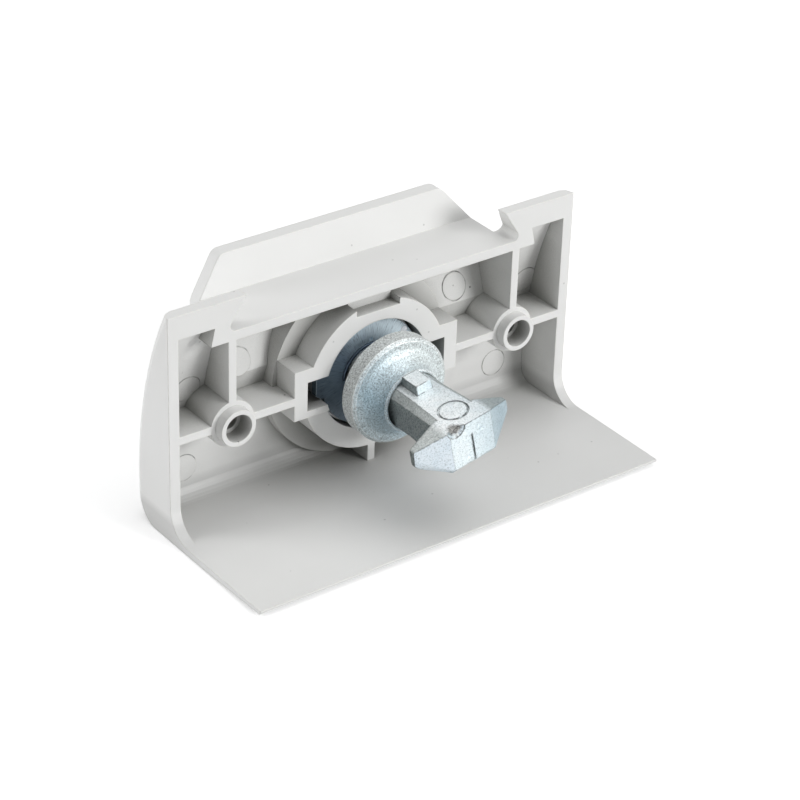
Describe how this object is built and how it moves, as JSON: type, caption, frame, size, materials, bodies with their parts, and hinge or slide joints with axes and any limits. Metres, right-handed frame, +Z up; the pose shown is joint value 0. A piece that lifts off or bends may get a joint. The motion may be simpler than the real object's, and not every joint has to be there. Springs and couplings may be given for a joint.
{
  "type": "double bit cabinet lock",
  "caption": "Moulded cabinet lock with a finger lip on top, a keyed barrel in a ribbed shell and a quarter-turn T-bolt with a spring-loaded pressure disc.",
  "frame": {"origin": "where the bolt's axis meets the plane of the shell's open rear rim", "axes": "+X across the width, to the lock's left seen from its back; +Y out of the open back, along the bolt; +Z up, towards the finger lip"},
  "size_m": [0.1, 0.0518, 0.051],
  "materials": {
    "housing_plastic": "light grey moulded plastic, fine satin",
    "zinc_casting": "zinc die casting, dull",
    "blue_zinc_plate": "sheet steel with blue zinc plating",
    "bright_steel": "zinc-plated steel",
    "bolt_casting": "grainy zinc die casting, blue-white plating",
    "disc_casting": "grainy zinc die casting, plated",
    "spring_wire": "spring wire, zinc plated",
    "seal_rubber": "black rubber"
  },
  "bodies": {
    "shell": {"housing": "housing_plastic", "barrel": "zinc_casting", "cover_plate": "blue_zinc_plate", "plate_pins": "bright_steel", "thrust_washer": "bright_steel"},
    "bolt": {"t_bolt": "bolt_casting", "key_sleeve": "zinc_casting", "cross_pin": "bright_steel", "seal_ring": "seal_rubber", "spring": "spring_wire"},
    "disc": {"pressure_disc": "disc_casting"}
  },
  "joints": [
    {"name": "quarter_turn", "type": "hinge", "parent": "shell", "child": "bolt", "pos_m": [0, 0, 0], "axis": [0, 1, 0], "range_deg": [-12, 78]},
    {"name": "disc_travel", "type": "slide", "parent": "bolt", "child": "disc", "axis": [0, -1, 0], "range_m": [0, 0.0035], "stiffness_N_per_m": 2500, "springref_m": -0.003, "deforming": ["spring"]}
  ]
}
